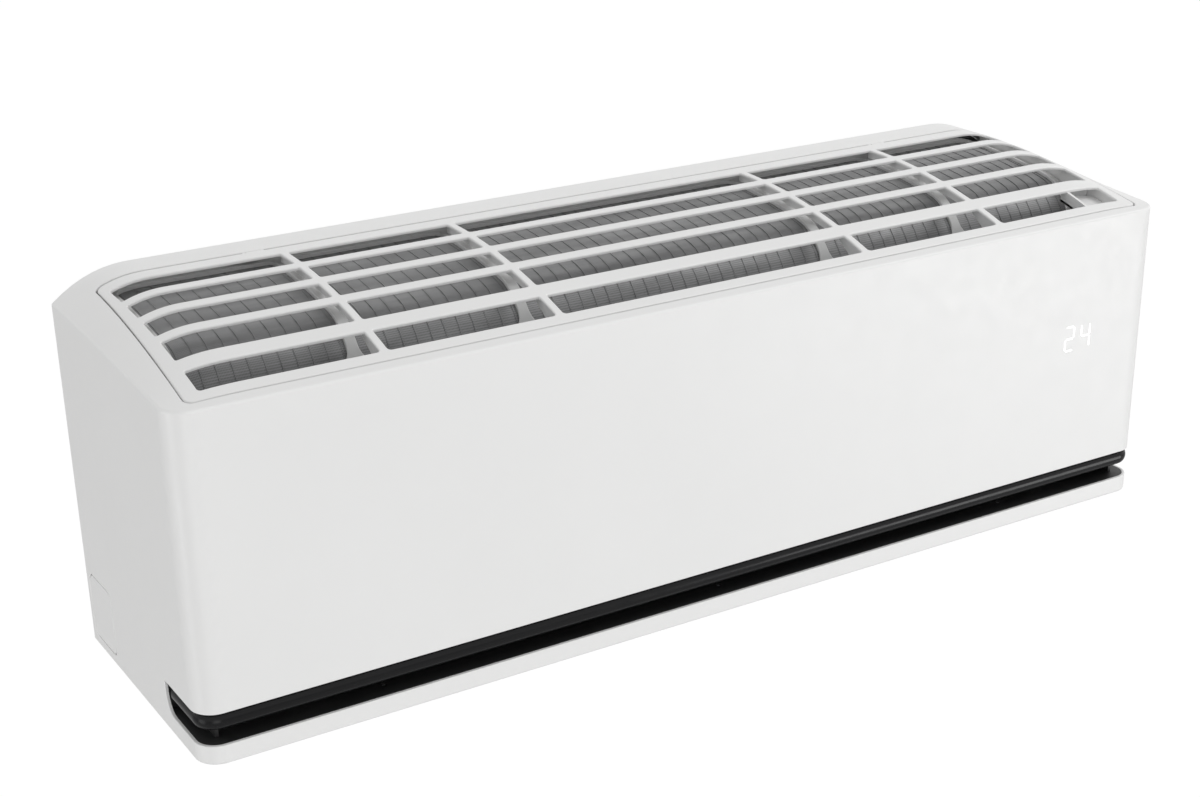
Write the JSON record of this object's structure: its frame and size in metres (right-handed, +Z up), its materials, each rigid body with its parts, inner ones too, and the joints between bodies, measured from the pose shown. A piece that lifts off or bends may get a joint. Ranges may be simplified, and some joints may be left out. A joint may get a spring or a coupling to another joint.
{
  "type": "mini split indoor unit",
  "caption": "Wall-hung indoor air conditioner: white casing, hinged crowned intake grille over a filter and coil, crossflow fan, and an outlet slot with tilting vanes and steering louvers.",
  "frame": {"origin": "centre of the wall plate's rear face, on the wall", "axes": "+X along the unit to its right end as seen from the room, +Y into the wall, +Z up"},
  "size_m": [0.895, 0.235, 0.3],
  "materials": {
    "white_shell": "satin white moulded plastic",
    "filter_net": "fine dark woven net",
    "duct_black": "black moulded plastic",
    "vane_dark": "dark grey satin plastic",
    "sheet_steel": "zinc-coated steel",
    "chassis_grey": "grey moulded plastic",
    "coil_fins": "pale blue coated fins",
    "coil_tube": "drawn copper tube",
    "pipe_foam": "closed-cell foam sleeve",
    "flare_brass": "turned brass",
    "bush_rubber": "black rubber",
    "fan_plastic": "dark moulded plastic",
    "board_green": "solder-masked board",
    "display_lens": "milky light guide"
  },
  "bodies": {
    "unit": {"wall_plate": "sheet_steel", "rear_chassis": "chassis_grey", "front_case": "white_shell", "knockout_right": "white_shell", "knockout_left": "white_shell", "grille_pin_left": "sheet_steel", "grille_pin_right": "sheet_steel", "coil_rear": "coil_fins", "coil_front_upper": "coil_fins", "coil_front_lower": "coil_fins", "coil_end_left": "coil_tube", "coil_end_right": "coil_tube", "gas_pipe": "pipe_foam", "liquid_pipe": "pipe_foam", "gas_flare_nut": "flare_brass", "liquid_flare_nut": "flare_brass", "drain_pan": "chassis_grey", "drain_hose": "chassis_grey", "fan_bearing": "sheet_steel", "bearing_rubber": "bush_rubber", "fan_motor": "sheet_steel", "motor_clamp": "chassis_grey", "outlet_frame": "duct_black", "upper_vane_motor": "sheet_steel", "lower_vane_motor": "sheet_steel", "louver_left_motor": "sheet_steel", "louver_right_motor": "sheet_steel", "control_box": "chassis_grey", "control_box_cover": "chassis_grey", "circuit_board": "board_green", "terminal_block": "duct_black", "display_board": "board_green", "display_lens": "display_lens", "room_sensor": "duct_black", "button_switch": "board_green", "case_screw_1": "sheet_steel", "case_screw_2": "sheet_steel", "case_screw_3": "sheet_steel"},
    "grille": {"top_grille": "white_shell", "filter_frame": "white_shell", "filter_net": "filter_net"},
    "fan": {"fan_wheel": "fan_plastic"},
    "upper_vane": {"upper_vane": "vane_dark"},
    "lower_vane": {"lower_vane": "white_shell"},
    "louver_left_1": {"louver_left_1": "duct_black"},
    "louver_left_2": {"louver_left_2": "duct_black"},
    "louver_left_3": {"louver_left_3": "duct_black"},
    "louver_left_4": {"louver_left_4": "duct_black"},
    "louver_left_5": {"louver_left_5": "duct_black"},
    "louver_left_crank": {"louver_left_crank": "chassis_grey"},
    "louver_left_tie": {"louver_left_tie": "duct_black"},
    "louver_right_1": {"louver_right_1": "duct_black"},
    "louver_right_2": {"louver_right_2": "duct_black"},
    "louver_right_3": {"louver_right_3": "duct_black"},
    "louver_right_4": {"louver_right_4": "duct_black"},
    "louver_right_5": {"louver_right_5": "duct_black"},
    "louver_right_crank": {"louver_right_crank": "chassis_grey"},
    "louver_right_tie": {"louver_right_tie": "duct_black"},
    "service_button": {"service_button": "white_shell"}
  },
  "joints": [
    {"name": "fan_spin", "type": "hinge", "parent": "unit", "child": "fan", "pos_m": [0, -0.118, -0.033], "axis": [1, 0, 0], "continuous": true},
    {"name": "grille_hinge", "type": "hinge", "parent": "unit", "child": "grille", "pos_m": [0, -0.0315, 0.1435], "axis": [1, 0, 0], "range_deg": [-75, 0]},
    {"name": "upper_vane_tilt", "type": "hinge", "parent": "unit", "child": "upper_vane", "pos_m": [0, -0.17, -0.111], "axis": [1, 0, 0], "range_deg": [0, 9]},
    {"name": "lower_vane_swing", "type": "hinge", "parent": "unit", "child": "lower_vane", "pos_m": [0, -0.146, -0.139], "axis": [1, 0, 0], "range_deg": [0, 60]},
    {"name": "louver_left_drive", "type": "hinge", "parent": "unit", "child": "louver_left_crank", "pos_m": [-0.336, -0.182, -0.1], "axis": [0, 0, 1], "range_deg": [-35, 35]},
    {"name": "louver_left_turn_1", "type": "hinge", "parent": "unit", "child": "louver_left_1", "pos_m": [-0.026, -0.182, -0.09], "axis": [0, 0, 1], "range_deg": [-35, 35]},
    {"name": "louver_left_turn_2", "type": "hinge", "parent": "unit", "child": "louver_left_2", "pos_m": [-0.088, -0.182, -0.09], "axis": [0, 0, 1], "range_deg": [-35, 35]},
    {"name": "louver_left_turn_3", "type": "hinge", "parent": "unit", "child": "louver_left_3", "pos_m": [-0.15, -0.182, -0.09], "axis": [0, 0, 1], "range_deg": [-35, 35]},
    {"name": "louver_left_turn_4", "type": "hinge", "parent": "unit", "child": "louver_left_4", "pos_m": [-0.212, -0.182, -0.09], "axis": [0, 0, 1], "range_deg": [-35, 35]},
    {"name": "louver_left_turn_5", "type": "hinge", "parent": "unit", "child": "louver_left_5", "pos_m": [-0.274, -0.182, -0.09], "axis": [0, 0, 1], "range_deg": [-35, 35]},
    {"name": "louver_left_tie_turn", "type": "hinge", "parent": "louver_left_crank", "child": "louver_left_tie", "pos_m": [-0.336, -0.198, -0.1075], "axis": [0, 0, 1], "range_deg": [-35, 35]},
    {"name": "louver_right_drive", "type": "hinge", "parent": "unit", "child": "louver_right_crank", "pos_m": [0.336, -0.182, -0.1], "axis": [0, 0, 1], "range_deg": [-35, 35]},
    {"name": "louver_right_turn_1", "type": "hinge", "parent": "unit", "child": "louver_right_1", "pos_m": [0.026, -0.182, -0.09], "axis": [0, 0, 1], "range_deg": [-35, 35]},
    {"name": "louver_right_turn_2", "type": "hinge", "parent": "unit", "child": "louver_right_2", "pos_m": [0.088, -0.182, -0.09], "axis": [0, 0, 1], "range_deg": [-35, 35]},
    {"name": "louver_right_turn_3", "type": "hinge", "parent": "unit", "child": "louver_right_3", "pos_m": [0.15, -0.182, -0.09], "axis": [0, 0, 1], "range_deg": [-35, 35]},
    {"name": "louver_right_turn_4", "type": "hinge", "parent": "unit", "child": "louver_right_4", "pos_m": [0.212, -0.182, -0.09], "axis": [0, 0, 1], "range_deg": [-35, 35]},
    {"name": "louver_right_turn_5", "type": "hinge", "parent": "unit", "child": "louver_right_5", "pos_m": [0.274, -0.182, -0.09], "axis": [0, 0, 1], "range_deg": [-35, 35]},
    {"name": "louver_right_tie_turn", "type": "hinge", "parent": "louver_right_crank", "child": "louver_right_tie", "pos_m": [0.336, -0.198, -0.1075], "axis": [0, 0, 1], "range_deg": [-35, 35]},
    {"name": "button_press", "type": "slide", "parent": "unit", "child": "service_button", "axis": [0, 0, 1], "range_m": [0, 0.0012], "stiffness_N_per_m": 400}
  ],
  "couplings": [
    {"joint": "louver_left_turn_1", "follows": "louver_left_drive", "ratio": 1},
    {"joint": "louver_left_turn_2", "follows": "louver_left_drive", "ratio": 1},
    {"joint": "louver_left_turn_3", "follows": "louver_left_drive", "ratio": 1},
    {"joint": "louver_left_turn_4", "follows": "louver_left_drive", "ratio": 1},
    {"joint": "louver_left_turn_5", "follows": "louver_left_drive", "ratio": 1},
    {"joint": "louver_left_tie_turn", "follows": "louver_left_drive", "ratio": -1},
    {"joint": "louver_right_turn_1", "follows": "louver_right_drive", "ratio": 1},
    {"joint": "louver_right_turn_2", "follows": "louver_right_drive", "ratio": 1},
    {"joint": "louver_right_turn_3", "follows": "louver_right_drive", "ratio": 1},
    {"joint": "louver_right_turn_4", "follows": "louver_right_drive", "ratio": 1},
    {"joint": "louver_right_turn_5", "follows": "louver_right_drive", "ratio": 1},
    {"joint": "louver_right_tie_turn", "follows": "louver_right_drive", "ratio": -1}
  ]
}
